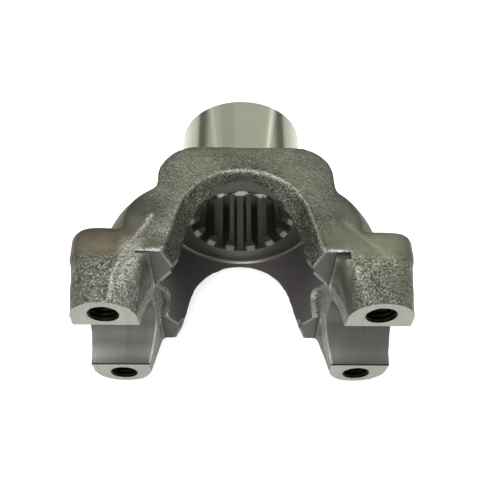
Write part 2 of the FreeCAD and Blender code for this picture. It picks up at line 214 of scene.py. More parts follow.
def ear(across, y, z):
    """Distance to one ear, whose corners grow firmer from the bolt faces to its back."""
    share = np.clip(y / EAR_BACK, 0.0, 1.0)
    inside = EAR_INSIDE - y * math.tan(EAR_INNER_DRAFT)
    outside = np.minimum(EAR_OUTSIDE + y * math.tan(EAR_DRAFT), SLAB_HALF)
    half_height = EAR_HALF_HEIGHT + y * math.tan(EAR_DRAFT)
    middle = (inside + outside) / 2
    outer_corner = EAR_CORNER + (EAR_BACK_CORNER - EAR_CORNER) * share
    inner_corner = EAR_CORNER + (EAR_ROOT_CORNER - EAR_CORNER) * share
    corner = np.where(across > middle, outer_corner, inner_corner)
    return round_rect(across - middle, z, (outside - inside) / 2, half_height, corner)


def hollow_back(y, z):
    """Distance to the back and the ends of the raw hollow behind each saddle."""
    behind = y - HOLLOW_REACH - HOLLOW_SPREAD * np.abs(z)
    return smooth_max(behind, np.abs(z) - HOLLOW_HALF, HOLLOW_CORNER)


def hollow(x, y, z):
    """Distance to the raw hollow behind each saddle, which the turned pocket doesn't reach."""
    return np.maximum(np.sqrt(x ** 2 + z ** 2) - HOLLOW_RADIUS, hollow_back(y, z))


def saddle_rim(x, y, z):
    """Marks the raw band on each ear's inner face, round the saddle."""
    across = np.abs(x)
    return rise(across, 28.0, 30.0) * fall(across, 36.0, 37.0) * fall(np.hypot(y, z), 23.5, 25.5)


def grain_at(x, y, z):
    """How rough the skin is, from 0 for smooth to 1 for the roughest."""
    across, up = np.abs(x), np.abs(z)
    inner = np.where(x < 0, LEFT_COLUMN, RIGHT_COLUMN)
    column = rise(across, inner - COLUMN_BLUR, inner + COLUMN_BLUR) * fall(y, 16.0, 20.0)
    column = column * np.maximum(rise(up, 22.5, 25.0), rise(across, 38.0, 40.0))
    lip = fall(np.abs(window(x, y, z)), 0.4, 2.4) * rise(up, 19.0, 23.0)
    plateau = PLATEAU_GRAIN * rise(up, 33.5, 35.0) * fall(across, 33.0, 37.0)
    plateau = plateau * np.where(x > 0, rise(y, 24.0, 33.0), 1.0)
    behind = HOLLOW_GRAIN * fall(hollow(x, y, z), 0.0, 2.5) * rise(across, 22.0, 24.0)
    rim = SADDLE_RIM_GRAIN * saddle_rim(x, y, z)
    return np.clip(np.maximum.reduce([column, lip, plateau, behind, rim]), LEAST_GRAIN, 1.0)


def wear_and_highlight_at(x, y, z):
    """Bare steel and painted highlights on the skin: the window's rim, the ears' ridges and the saddles'
    edges.
    """
    across, up = np.abs(x), np.abs(z)
    # A painted highlight along the window's rim on the flats
    rim = line(np.hypot(window(x, y, z), up - FLAT + 0.7), width=0.7, core=1.3)

    # Painted highlights along the ears' ridges
    left = line(path_distance(across, y, LEFT_RIDGE), width=0.8, core=1.4) * LEFT_RIDGE_HIGHLIGHT
    right = line(path_distance(across, y, RIGHT_RIDGE), width=0.9, core=1.4) * RIGHT_RIDGE_HIGHLIGHT
    ridge = np.maximum(np.where(x < 0, left, 0.0), np.where(x > 0, right, 0.0)) * rise(up, 26.0, 30.0)

    # A painted highlight along the flats' front edge
    from_front = np.hypot(y - STEP_PLANE - 0.3, up - FLAT + 0.4)
    front = line(from_front, width=0.8, core=1.2) * fall(across, 37.0, 38.5)
    # Brighter patches on the ears' tops near the step
    patch = np.where(x < 0, LEFT_PATCH_BRIGHTENING, RIGHT_PATCH_BRIGHTENING)
    patch = patch * rise(across, 34.0, 36.0) * fall(across, 41.0, 44.0)
    patch = patch * fall(y, 22.0, 27.0) * rise(up, 27.0, 30.0)

    # Bare steel in the hollows, lightened also as painted light against their shade, with a painted
    # highlight round their edges, and bare steel round the saddles
    raw = HOLLOW_BARE_AND_LIT * fall(hollow(x, y, z), 0.0, 2.0) * rise(across, 24.0, 26.0)
    raw = np.where((hollow_back(y, z) > -HOLLOW_HIGHLIGHT_EDGE) & (raw > 0.0), 1.0, raw)
    raw = np.maximum(raw, SADDLE_RIM_WEAR * saddle_rim(x, y, z))

    # A painted highlight along the saddles' inner edges
    from_inside = across - EAR_INSIDE + y * math.tan(EAR_INNER_DRAFT)
    from_edge = np.hypot(np.hypot(y, z) - SADDLE_RADIUS, from_inside)
    edge = line(from_edge, width=0.9, core=1.2) * SADDLE_EDGE_HIGHLIGHT
    return np.clip(np.maximum.reduce([rim, ridge, front, patch, raw, edge]), 0.0, 1.0)


def forging():
    """Builds the forged blank's distance field and returns its mesh as points and quads."""
    counts = np.ceil((GRID_HIGH - GRID_LOW) / CELL).astype(int) + 1
    x = (GRID_LOW[0] + CELL * np.arange(counts[0], dtype=np.float32))[:, None, None]
    y = (GRID_LOW[1] + CELL * np.arange(counts[1], dtype=np.float32))[None, :, None]
    z = (GRID_LOW[2] + CELL * np.arange(counts[2], dtype=np.float32))[None, None, :]
    x, y, z = np.broadcast_arrays(x, y, z)
    across, up = np.abs(x), np.abs(z)

    middle, half_depth = (WEB_BACK + WEB_START) / 2, (WEB_BACK - WEB_START) / 2
    web = round_rect(x - WEB_SHIFT, y - middle, WEB_HALF, half_depth, WEB_CORNER)
    from_axis, half_depth = np.sqrt(x ** 2 + z ** 2), SHOULDER_BACK / 2
    shoulder = round_rect(from_axis, y - half_depth, SHOULDER_RADIUS, half_depth, SHOULDER_BEND)
    body = smooth_min(web, shoulder, WEB_FILLET)

    back = y - SLAB_BACK + SLAB_SKEW * x
    slab = smooth_max(round_rect(x, z, SLAB_HALF, FLAT, SLAB_CORNER), back, SLAB_ROUND)
    slope = (across - SLAB_HALF) * ARM_SLOPE[0] + (y - SLAB_BACK) * ARM_SLOPE[1]
    arm = smooth_max(slope, y - ARM_BACK, ARM_BACK_ROUND)
    arm = smooth_max(arm, across - SLAB_HALF, ARM_SIDE_ROUND)
    arm = smooth_max(arm, up - ARM_HALF_HEIGHT, ARM_TOP_ROUND)
    body = smooth_min(smooth_min(body, slab, SLAB_FILLET), arm, ARM_FILLET)
    body = smooth_max(body, STEP_PLANE - FRONT_STOCK - SKIN - y, FRONT_ROUND)

    column = smooth_max(ear(across, y, z), y - EAR_BACK, EAR_ROUND)
    body = smooth_min(body, column, EAR_FILLET)
    body = smooth_max(body, up - FLAT, FLAT_ROUND)
    body = np.maximum(body, across - SLAB_HALF)

    body = smooth_max(body, -window(x, y, z), WINDOW_ROUND)
    body = smooth_max(body, -hollow(x, y, z), HOLLOW_ROUND)
    from_tip = np.sqrt((across - LEAF_TIP[0]) ** 2 + (y - STEP_PLANE) ** 2 + (up - LEAF_TIP[1]) ** 2)
    body = smooth_max(body, LEAF_TIP_WEAR - from_tip, LEAF_TIP_ROUND)

    shape = body.shape
    waves = LONG_WAVE * noise(shape, 14.0, 1) + SHORT_WAVE * noise(shape, 6.0, 2)
    bumps = noise(shape, 1.5, 3) * BUMP + np.minimum(noise(shape, 2.2, 4), 0.0) * BUMP
    body = body + SKIN + waves + bumps * (SMOOTH_BUMPS + ROUGH_BUMPS * grain_at(x, y, z))

    grid = openvdb.FloatGrid(BAND)
    grid.copyFromArray(np.ascontiguousarray(np.clip(body, -BAND, BAND), dtype=np.float32))
    points, quads = grid.convertToQuads(0.0)
    return points * CELL + GRID_LOW, quads


# ---- mesh helpers ----


def make_object(name, points, faces, materials, face_materials):
    """Makes an object from points and faces, with the faces turned outwards."""
    mesh = bpy.data.meshes.new(name)
    corners = [tuple(map(float, point)) for point in points]
    mesh.from_pydata(corners, [], [tuple(map(int, face)) for face in faces])
    for material in materials:
        mesh.materials.append(material)
    mesh.polygons.foreach_set("material_index", np.asarray(face_materials, dtype=np.int32))
    work = bmesh.new()
    work.from_mesh(mesh)
    bmesh.ops.recalc_face_normals(work, faces=work.faces)
    if work.calc_volume(signed=True) < 0:
        bmesh.ops.reverse_faces(work, faces=work.faces)
    work.to_mesh(mesh)
    work.free()
    thing = bpy.data.objects.new(name, mesh)
    bpy.context.scene.collection.objects.link(thing)
    return thing


def tube(name, rings, sides, caps):
    """Makes a closed tube through rings of points, with a material for each band and for both caps."""
    count = len(rings[0])
    points = np.concatenate(rings)
    materials = list(dict.fromkeys(list(sides) + list(caps)))
    faces, slots = [], []
    for band, material in enumerate(sides):
        low, high = band * count, (band + 1) * count
        for i in range(count):
            j = (i + 1) % count
            faces.append((low + i, low + j, high + j, high + i))
            slots.append(materials.index(material))
    faces.append(tuple(range(count)))
    slots.append(materials.index(caps[0]))
    faces.append(tuple(range(len(points) - count, len(points))))
    slots.append(materials.index(caps[1]))
    return make_object(name, points, faces, materials, slots)


def ring(turn, radius, y):
    """Points about the hub axis, at angles from the one that points straight down."""
    radius, y = np.broadcast_to(radius, turn.shape), np.broadcast_to(y, turn.shape)
    return np.stack([radius * np.sin(turn), y, -radius * np.cos(turn)], axis=1)


def circle(radius, y):
    """A round ring of points about the hub axis."""
    return ring(np.arange(ROUND_SIDES) * 2 * math.pi / ROUND_SIDES, radius, y)


def block(name, low, high, material):
    """Makes a box between two corners, for cutting."""
    around = [(low[0], low[2]), (high[0], low[2]), (high[0], high[2]), (low[0], high[2])]
    rings = [np.array([(a, y, b) for a, b in around]) for y in (low[1], high[1])]
    return tube(name, rings, [material], [material, material])


def spline_ring(turn):
    """Radius of the splined bore at each angle from a gap's middle, and where its root and tips end."""
    pitch = 2 * math.pi / TEETH
    off = np.abs((turn + pitch / 2) % pitch - pitch / 2)
    root = (ROOT_GAP / 2, math.sqrt(ROOT_RADIUS ** 2 - ROOT_GAP ** 2 / 4))
    tip = (TIP_GAP / 2, math.sqrt(TIP_RADIUS ** 2 - TIP_GAP ** 2 / 4))
    root_turn, tip_turn = math.atan2(*root), math.atan2(*tip)
    normal = (root[1] - tip[1], tip[0] - root[0])
    reach = root[0] * normal[0] + root[1] * normal[1]
    flank = reach / (np.sin(off) * normal[0] + np.cos(off) * normal[1])
    radius = np.where(off <= root_turn, ROOT_RADIUS, np.where(off >= tip_turn, TIP_RADIUS, flank))
    return radius, root_turn, tip_turn


def bore_cutter(ends, walls, pilot):
    """Makes the splined bore with its conical lead-ins, the pilot bore and the chamfer at the hub's end."""
    root_turn, tip_turn = spline_ring(np.zeros(1))[1:]
    pitch = 2 * math.pi / TEETH
    # Half a pitch: the middle of a gap, one point along its root, one along the tip, and the tip's middle
    marks = [0.0, (root_turn - TOOTH_EASE) * 0.6, (tip_turn + pitch / 2) / 2, pitch / 2]
    marks += [corner + ease for corner in (root_turn, tip_turn) for ease in (-TOOTH_EASE, TOOTH_EASE)]
    turn = np.array(sorted({round(sign * mark, 9) for sign in (1, -1) for mark in marks}))[1:]
    turn = np.concatenate([turn + pitch * k for k in range(TEETH)])
    radius = spline_ring(turn)[0]
    rings = [
        ring(turn, MOUTH_RADIUS + LEAD_SLOPE * OVERCUT, SEAT - OVERCUT),
        ring(turn, radius, SEAT + (MOUTH_RADIUS - radius) / LEAD_SLOPE),
        ring(turn, radius, PILOT_START - (PILOT_RADIUS - radius) / LEAD_SLOPE),
        ring(turn, PILOT_RADIUS, PILOT_START),
        ring(turn, PILOT_RADIUS, HUB_END - HUB_CHAMFER),
        ring(turn, PILOT_RADIUS + HUB_CHAMFER + OVERCUT, HUB_END + OVERCUT),
    ]
    return tube("bore_cutter", rings, [ends, walls, ends, pilot, pilot], [ends, pilot])


def thread_cutter(name, x, z, material):
    """Makes one tapped hole: a helical thread, a countersunk mouth and a drill point."""
    turn = np.arange(THREAD_SIDES) * 2 * math.pi / THREAD_SIDES
    places, radii = [], []
    for place in np.arange(-TAP_AHEAD, TAP_DEPTH - THREAD_SHORT, TAP_PITCH / THREAD_ROWS):
        phase = (place / TAP_PITCH - turn / (2 * math.pi)) % 1.0
        groove = np.clip(THREAD_CREST - np.abs(phase - 0.5) * THREAD_SLOPE, 0.0, 1.0)
        places.append(place)
        radii.append(np.maximum(TAP_MINOR + (TAP_MAJOR - TAP_MINOR) * groove, TAP_MOUTH - place))
    places += [TAP_DEPTH - PLAIN_LENGTH, TAP_DEPTH, TAP_DEPTH + DRILL_POINT_LENGTH]
    radii += [TAP_MINOR, TAP_MINOR, DRILL_POINT_RADIUS]
    rings = [
        np.stack([x + radius * np.cos(turn), np.full(len(turn), place), z + radius * np.sin(turn)], axis=1)
        for place, radius in zip(places, radii)
    ]
    return tube(name, rings, [material] * (len(rings) - 1), [material, material])


def saddle_cutter(material, edge):
    """Makes the cutter for both saddles, a round bar along X with a chamfer at the bolt faces."""
    stop = math.asin(SADDLE_CHAMFER / SADDLE_RADIUS)
    turn = np.linspace(stop, math.pi - stop, SADDLE_POINTS)
    wide = SADDLE_RADIUS + SADDLE_CHAMFER
    points = [(SADDLE_RADIUS * math.sin(t), SADDLE_RADIUS * math.cos(t)) for t in turn]
    points += [(0.0, -wide), (-SADDLE_AHEAD, -wide), (-SADDLE_AHEAD, wide), (0.0, wide)]
    rings = [np.array([(x, y, z) for y, z in points]) for x in (-SADDLE_BAR, SADDLE_BAR)]
    cutter = tube("saddle_cutter", rings, [material], [material, material])
    cutter.data.materials.append(edge)
    for face in cutter.data.polygons:
        y, z = face.center.y, face.center.z
        if len(face.vertices) == 4 and 0.0 < y < SADDLE_CHAMFER and abs(z) > SADDLE_RADIUS - BESIDE:
            face.material_index = 1
    return cutter


def machine(target, cutters):
    """Applies a list of (operation, cutter) booleans to the target and removes the cutters."""
    for operation, cutter in cutters:
        modifier = target.modifiers.new(cutter.name, "BOOLEAN")
        modifier.operation = operation
        modifier.object = cutter
        modifier.solver = "MANIFOLD"
        modifier.material_mode = "TRANSFER"
    graph = bpy.context.evaluated_depsgraph_get()
    mesh = bpy.data.meshes.new_from_object(target.evaluated_get(graph), depsgraph=graph)
    target.modifiers.clear()
    target.data = mesh
    for _, cutter in cutters:
        bpy.data.objects.remove(cutter)


def mark_edges(mesh, skin):
    """Shades the mesh smooth, with sharp edges where materials meet and at corners of machined faces."""
    work = bmesh.new()
    work.from_mesh(mesh)
    for edge in work.edges:
        if len(edge.link_faces) != 2:
            continue
        one, two = edge.link_faces
        kinds = {mesh.materials[one.material_index].name, mesh.materials[two.material_index].name}
        if len(kinds) == 2:
            edge.smooth = False
        elif kinds != {skin} and edge.calc_face_angle(0.0) > SHARP_ANGLE:
            edge.smooth = False
    for face in work.faces:
        face.smooth = True
    work.to_mesh(mesh)
    work.free()


# ---- materials ----

# Colours that more than one surface has: bare steel, also used for painted highlights, and polished steel,
# also used for painted light in the bore
BARE_STEEL_AND_HIGHLIGHT, POLISHED_STEEL_AND_LIGHT = (0.55, 0.55, 0.5), (0.75, 0.74, 0.68)

# The forged skin's colours, the scales of its noise per metre, and the height of its relief
SKIN_DARK, SKIN_LIGHT, SKIN_PITS, SKIN_FLECKS = (
    (0.132, 0.133, 0.102), (0.212, 0.21, 0.164), (0.035, 0.035, 0.03), (0.42, 0.42, 0.37),
)
TONES, FLECKS, PITS, FLECK_CLUSTERS, GLOSS, SKIN_RELIEF = 60.0, 1300.0, 950.0, 110.0, 300.0, 0.0006

# How fine the tool marks are along each axis, and how fine the turning rings are, per metre
MARKS_ACROSS_X, MARKS_ACROSS_Z = (900.0, 60.0, 60.0), (60.0, 60.0, 500.0)
MARKS_ALONG_Y, TURNING_RINGS = (900.0, 25.0, 900.0), 2600.0

# Gain of the marks and of the rings on the roughness, and the range of each that colours a face
MARK_GLOSS, RING_GLOSS, MARK_RANGE, RING_RANGE = 0.12, 0.1, (0.3, 0.7), (0.35, 0.75)

# Where painted highlights lie on the step face (in millimetres), the saddles' ends and the teeth's ends (in
# metres)
LEAF_TOP, LEAF_LEAN, LEAF_RIM, LEAF_FADE = 27.8, 4.86, 1.0, 0.6
SADDLE_HIGHLIGHT_EDGE, TOOTH_MIDDLE, TOOTH_MOUTH = (0.0005, 0.0011), (0.0014, 0.0022), (0.0196, 0.0203)
LEAF_HIGHLIGHT_SHARE, SADDLE_HIGHLIGHT_SHARE = 0.75, 0.8

# The painted crescent of light in the bore, in metres: its start at the tips, its lean towards the roots,
# its curve and how far sideways that goes, and how it fades at the start and towards the axis
LIGHT_CRESCENT_START, LIGHT_CRESCENT_LEAN, LIGHT_CRESCENT_CURVE, LIGHT_CRESCENT_SIDE = 0.0865, 0.65, 50.0, 0.012
LIGHT_CRESCENT_FADE, LIGHT_CRESCENT_TOP = 0.0006, -0.004

# Where a painted shade darkens the seat towards the top
SEAT_SHADE = (0.004, 0.02)


def smooth_ramp(tree, value, stops):
    """Adds a node that eases a value from one range to another: from low and high, to low and high."""
    node = tree.nodes.new("ShaderNodeMapRange")
    node.interpolation_type = "SMOOTHSTEP"
    tree.links.new(value, node.inputs["Value"])
    for socket, number in zip(("From Min", "From Max", "To Min", "To Max"), stops):
        node.inputs[socket].default_value = number
    return node.outputs["Result"]


def shade(color, share):
    """A colour at a share of its brightness."""
    return tuple(value * share for value in color)


class Recipe:
    """A short way to write a material's nodes."""

    def __init__(self, name):
        self.material = bpy.data.materials.new(name)
        self.material.use_nodes = True
        self.nodes = self.material.node_tree.nodes
        self.links = self.material.node_tree.links
        self.shader = self.nodes["Principled BSDF"]
        self.coordinates = self.nodes.new("ShaderNodeTexCoord").outputs["Object"]

    def put(self, socket, value):
        """Links a node's output to a socket, or sets the socket to a number or a colour."""
        if isinstance(value, bpy.types.NodeSocket):
            self.links.new(value, socket)
        elif isinstance(value, tuple) and len(value) == 3 and socket.type == "RGBA":
            socket.default_value = (*value, 1.0)
        else:
            socket.default_value = value

    def math(self, kind, one, two=0.0, clamp=False):
        node = self.nodes.new("ShaderNodeMath")
        node.operation = kind
        node.use_clamp = clamp
        self.put(node.inputs[0], one)
        self.put(node.inputs[1], two)
        return node.outputs[0]

    def more(self, base, value, share):
        """The base plus a share of the value."""
        return self.math("ADD", base, self.math("MULTIPLY", value, share))

    def mix(self, share, one, two, kind="MIX"):
        node = self.nodes.new("ShaderNodeMix")
        node.data_type = "RGBA"
        node.blend_type = kind
        self.put(node.inputs[0], share)
        self.put(node.inputs[6], one)
        self.put(node.inputs[7], two)
        return node.outputs[2]

    def ramp(self, value, *stops):
        return smooth_ramp(self.material.node_tree, value, stops)

    def noise(self, scale, detail=2.0, rough=0.5, where=None):
        node = self.nodes.new("ShaderNodeTexNoise")
        self.put(node.inputs["Vector"], where or self.coordinates)
        node.inputs["Scale"].default_value = scale
        node.inputs["Detail"].default_value = detail
        node.inputs["Roughness"].default_value = rough
        return node.outputs["Fac"]

    def marks(self, scale):
        """Fine tool marks, drawn out along the axes with a small scale."""
        node = self.nodes.new("ShaderNodeMapping")
        self.put(node.inputs["Vector"], self.coordinates)
        node.inputs["Scale"].default_value = scale
        return self.noise(1.0, 3.0, 0.6, node.outputs["Vector"])

    def rings(self, place):
        """Fine turning rings along the given length."""
        joined = self.nodes.new("ShaderNodeCombineXYZ")
        self.put(joined.inputs["X"], self.math("MULTIPLY", place, TURNING_RINGS))
        return self.noise(1.0, 3.0, 0.65, joined.outputs["Vector"])

    def attribute(self, name, output="Fac"):
        node = self.nodes.new("ShaderNodeAttribute")
        node.attribute_name = name
        return node.outputs[output]

    def places(self):
        """The three coordinates, by letter."""
        split = self.nodes.new("ShaderNodeSeparateXYZ")
        self.put(split.inputs[0], self.coordinates)
        return {letter: split.outputs[letter] for letter in "XYZ"}

    def radius(self, at):
        """The distance from the hub axis."""
        squares = [self.math("MULTIPLY", at[letter], at[letter]) for letter in "XZ"]
        return self.math("SQRT", self.math("ADD", *squares))

    def bump(self, height, depth, strength=1.0):
        node = self.nodes.new("ShaderNodeBump")
        node.inputs["Distance"].default_value = depth
        node.inputs["Strength"].default_value = strength
        self.put(node.inputs["Height"], height)
        return node.outputs["Normal"]

    def finish(self, color, metallic, roughness, normal=None):
        self.put(self.shader.inputs["Base Color"], color)
        self.put(self.shader.inputs["Metallic"], metallic)
        self.put(self.shader.inputs["Roughness"], roughness)
        if normal is not None:
            self.put(self.shader.inputs["Normal"], normal)
        return self.material


def forged_skin():
    """Shot-blasted forging skin: olive grey, with bright flecks where the grain is coarse, and painted shade
    and highlights.
    """
    r = Recipe("forged_skin")
    grain = r.attribute("grain")
    broad, fine, pits = r.noise(TONES, 3.0, 0.55), r.noise(FLECKS, rough=0.6), r.noise(PITS, rough=0.6)
    tone = r.mix(r.ramp(broad, 0.35, 0.65, 0.0, 1.0), SKIN_DARK, SKIN_LIGHT)
    dark = r.math("MULTIPLY", r.ramp(pits, 0.36, 0.52, 1.0, 0.0), grain)
    tone = r.mix(r.math("MULTIPLY", dark, 0.8), tone, SKIN_PITS)
    share = r.math("MULTIPLY", grain, r.ramp(r.noise(FLECK_CLUSTERS), 0.38, 0.6, 0.6, 0.95))
    fleck = r.math("MULTIPLY", r.ramp(fine, 0.5, 0.66, 0.0, 1.0), r.math("ADD", share, 0.03))
    tone = r.mix(fleck, tone, SKIN_FLECKS)
    # Tints and painted shade multiply the tone, then bare steel and painted highlights are mixed in
    tone = r.mix(1.0, tone, r.attribute("stain_and_shade", "Color"), "MULTIPLY")
    bared_and_lit = r.math("MULTIPLY", r.attribute("wear_and_highlight"), r.ramp(fine, 0.36, 0.58, 0.2, 1.0))
    tone = r.mix(bared_and_lit, tone, BARE_STEEL_AND_HIGHLIGHT)
    relief = r.math("ADD", r.math("MULTIPLY", fine, 0.6), pits)
    relief = r.math("MULTIPLY", relief, r.math("ADD", r.math("MULTIPLY", grain, 0.9), 0.1))
    roughness = r.more(0.36, r.noise(GLOSS), 0.22)
    return r.finish(tone, metallic=0.8, roughness=roughness, normal=r.bump(relief, SKIN_RELIEF, 0.9))


def machined(name, color, roughness, streaks, depth, metallic=1.0):
    """A cut steel face with fine parallel tool marks."""
    r = Recipe(name)
    marks = r.marks(MARKS_ACROSS_X)
    tone = r.mix(r.ramp(marks, *MARK_RANGE, 0.0, streaks), color, shade(color, 0.55))
    tone = r.mix(r.ramp(r.noise(70.0), 0.4, 0.7, 0.0, 0.35), tone, shade(color, 0.75))
    return r.finish(tone, metallic, r.more(roughness, marks, MARK_GLOSS), r.bump(marks, depth))


def turned(name, color, roughness, depth, metallic=1.0):
    """A turned steel face with fine rings that follow each other along the hub axis."""
    r = Recipe(name)
    rings = r.rings(r.places()["Y"])
    tone = r.mix(r.ramp(rings, *RING_RANGE, 0.0, 0.4), color, shade(color, 0.72))
    tone = r.mix(r.ramp(r.noise(45.0), 0.4, 0.65, 0.0, 0.3), tone, shade(color, 0.82))
    return r.finish(tone, metallic, r.more(roughness, rings, RING_GLOSS), r.bump(rings, depth))


def step_face():
    """The sawn step face, with a painted highlight in a narrow band along the window and the pocket."""
    r = Recipe("step_face_steel")
    marks = r.marks(MARKS_ACROSS_Z)
    tone = r.mix(r.ramp(marks, 0.35, 0.7, 0.0, 0.25), (0.13, 0.13, 0.124), (0.08, 0.08, 0.075))
    at = r.places()
    deep = r.math("SUBTRACT", FLAT * MM, r.math("ABSOLUTE", at["Z"]))
    deep = r.math("DIVIDE", deep, WINDOW_DEPTH * MM, clamp=True)
    wall = r.math("SUBTRACT", LEAF_TOP * MM, r.math("MULTIPLY", deep, LEAF_LEAN * MM))
    from_wall = r.math("SUBTRACT", r.math("ABSOLUTE", at["X"]), wall)
    edge = r.math("MINIMUM", from_wall, r.math("SUBTRACT", r.radius(at), POCKET_MOUTH * MM))
    # A painted highlight along the window and the pocket
    leaf_highlight = r.ramp(edge, LEAF_RIM * MM, (LEAF_RIM + LEAF_FADE) * MM, LEAF_HIGHLIGHT_SHARE, 0.0)
    tone = r.mix(leaf_highlight, tone, (0.34, 0.34, 0.32))
    return r.finish(tone, 0.8, r.more(0.42, marks, MARK_GLOSS), r.bump(marks, depth=2e-5))


def saddle_face():
    """The bored saddle, with a painted highlight along its inner end."""
    r = Recipe("saddle_steel")
    marks = r.marks(MARKS_ACROSS_X)
    tone = r.mix(r.ramp(marks, *MARK_RANGE, 0.0, 0.25), (0.185, 0.185, 0.168), (0.11, 0.11, 0.1))
    at = r.places()
    inner = r.math("SUBTRACT", EAR_INSIDE * MM, r.math("MULTIPLY", at["Y"], math.tan(EAR_INNER_DRAFT)))
    from_end = r.math("SUBTRACT", r.math("ABSOLUTE", at["X"]), inner)
    # A painted highlight along the saddle's inner end
    tone = r.mix(r.ramp(from_end, *SADDLE_HIGHLIGHT_EDGE, SADDLE_HIGHLIGHT_SHARE, 0.0), tone, BARE_STEEL_AND_HIGHLIGHT)
    return r.finish(tone, 1.0, r.more(0.42, marks, MARK_GLOSS), r.bump(marks, depth=1e-5))


def tooth_ends():
    """The teeth's conical ends, with a painted highlight in each tooth's middle near the mouth and painted
    shade elsewhere.
    """
    r = Recipe("tooth_end_steel")
    at = r.places()
    radius = r.radius(at)
    half_pitch = math.pi / TEETH
    turn = r.math("ARCTAN2", at["X"], r.math("MULTIPLY", at["Z"], -1.0))
    from_gap = r.math("PINGPONG", turn, half_pitch)
    aside = r.math("MULTIPLY", r.math("SUBTRACT", half_pitch, from_gap), radius)
    # A painted highlight in each tooth's middle near the mouth, over painted shade
    tooth_highlight = r.math("MULTIPLY", r.ramp(aside, *TOOTH_MIDDLE, 1.0, 0.0), r.ramp(radius, *TOOTH_MOUTH, 0.0, 1.0))
    tone = r.mix(tooth_highlight, (0.035, 0.034, 0.031), (0.24, 0.225, 0.2))
    return r.finish(tone, metallic=0.9, roughness=0.4)


def spline_walls():
    """The broached walls, streaked along the hub axis, with a painted crescent of light low in the bore."""
    r = Recipe("spline_steel")
    marks = r.marks(MARKS_ALONG_Y)
    tone = r.mix(r.ramp(marks, *MARK_RANGE, 0.0, 0.4), (0.125, 0.12, 0.11), (0.07, 0.066, 0.06))
    at = r.places()
    # A painted crescent of light, standing for light that falls in through the hub's open end
    sideways = r.math("MINIMUM", r.math("MULTIPLY", at["X"], at["X"]), LIGHT_CRESCENT_SIDE ** 2)
    edge = r.math("MULTIPLY", r.radius(at), LIGHT_CRESCENT_LEAN)
    edge = r.math("SUBTRACT", edge, r.math("MULTIPLY", sideways, LIGHT_CRESCENT_CURVE))
    edge = r.math("ADD", edge, LIGHT_CRESCENT_START - LIGHT_CRESCENT_LEAN * TIP_RADIUS * MM)
    past = r.ramp(r.math("SUBTRACT", at["Y"], edge), 0.0, LIGHT_CRESCENT_FADE, 0.0, 1.0)
    light_crescent = r.math("MULTIPLY", past, r.ramp(at["Z"], LIGHT_CRESCENT_TOP, 0.0, 1.0, 0.0))
    tone = r.mix(light_crescent, tone, POLISHED_STEEL_AND_LIGHT)
    return r.finish(tone, 0.8, roughness=0.34, normal=r.bump(marks, depth=2e-5))


def seat_face():
    """The turned floor of the nut pocket, with painted shade in its upper half."""
    r = Recipe("seat_steel")
    at = r.places()
    rings = r.rings(r.radius(at))
    tone = r.mix(r.ramp(rings, *RING_RANGE, 0.0, 0.4), (0.155, 0.149, 0.133), (0.11, 0.105, 0.095))
    tone = r.mix(r.ramp(at["Z"], *SEAT_SHADE, 0.0, 0.5), tone, (0.05, 0.05, 0.047))
    return r.finish(tone, 0.9, r.more(0.38, rings, RING_GLOSS), r.bump(rings, depth=3e-5))


# ---- the yoke ----

SKIN_STEEL = forged_skin()
FACE_STEEL = machined("bolt_face_steel", (0.42, 0.425, 0.375), roughness=0.36, streaks=0.3, depth=2e-5)
STEP_STEEL = step_face()
SADDLE_STEEL = saddle_face()
# Near black on the saddles' chamfers: a painted shade for their dark edge line
CHAMFER_SHADE_STEEL = machined("edge_steel", (0.05, 0.05, 0.045), roughness=0.4, streaks=0.4, depth=1e-5)
# Dark and bluish on the notches under the flats' front edges: a painted shade
NOTCH_SHADE_STEEL = machined("notch_shade_steel", (0.09, 0.1, 0.105), 0.5, streaks=0.3, depth=1e-5, metallic=0.5)
POCKET_STEEL = turned("pocket_steel", (0.15, 0.138, 0.135), roughness=0.4, depth=3e-5, metallic=0.5)
SEAT_STEEL = seat_face()
TOOTH_STEEL = tooth_ends()
SPLINE_STEEL = spline_walls()
PILOT_STEEL = turned("pilot_steel", POLISHED_STEEL_AND_LIGHT, roughness=0.3, depth=2e-5)
# Lighter than the seat and the pocket: a painted highlight on the seat's rim fillet
RIM_HIGHLIGHT_STEEL = turned("seat_rim_steel", (0.3, 0.29, 0.27), roughness=0.35, depth=1e-5)
HUB_STEEL = turned("hub_steel", (0.66, 0.67, 0.54), roughness=0.075, depth=2e-7)
HUB_EDGE_STEEL = turned("hub_edge_steel", (0.2, 0.2, 0.18), roughness=0.55, depth=3e-6, metallic=0.3)
THREAD_STEEL = machined("thread_steel", (0.018, 0.017, 0.013), roughness=0.35, streaks=0.4, depth=2e-5)

points, quads = forging()
yoke = make_object("yoke", points, quads, [SKIN_STEEL], np.zeros(len(quads)))

hub_rings = [
    circle(COLLAR_RADIUS, SEAT + COLLAR_START),
    circle(COLLAR_RADIUS, COLLAR_BACK),
    circle(HUB_RADIUS, COLLAR_BACK),
    circle(HUB_RADIUS, HUB_END - HUB_EDGE),
    circle(HUB_RADIUS - HUB_EDGE, HUB_END),
]
hub = tube("hub", hub_rings, [HUB_STEEL] * 3 + [HUB_EDGE_STEEL], [HUB_STEEL, HUB_EDGE_STEEL])
pocket_rings = [circle(POCKET_MOUTH + POCKET_FLARE, STEP_PLANE - POCKET_AHEAD)]
pocket_rings += [circle(SEAT_RADIUS + wider, SEAT + further) for wider, further in SEAT_RIM]
pocket_walls, pocket_caps = [POCKET_STEEL, RIM_HIGHLIGHT_STEEL, RIM_HIGHLIGHT_STEEL], [POCKET_STEEL, SEAT_STEEL]
pocket = tube("pocket_cutter", pocket_rings, pocket_walls, pocket_caps)
face = block("face_cutter", (-PAST_X, -PAST_FRONT, -PAST_Z), (PAST_X, 0, PAST_Z), FACE_STEEL)
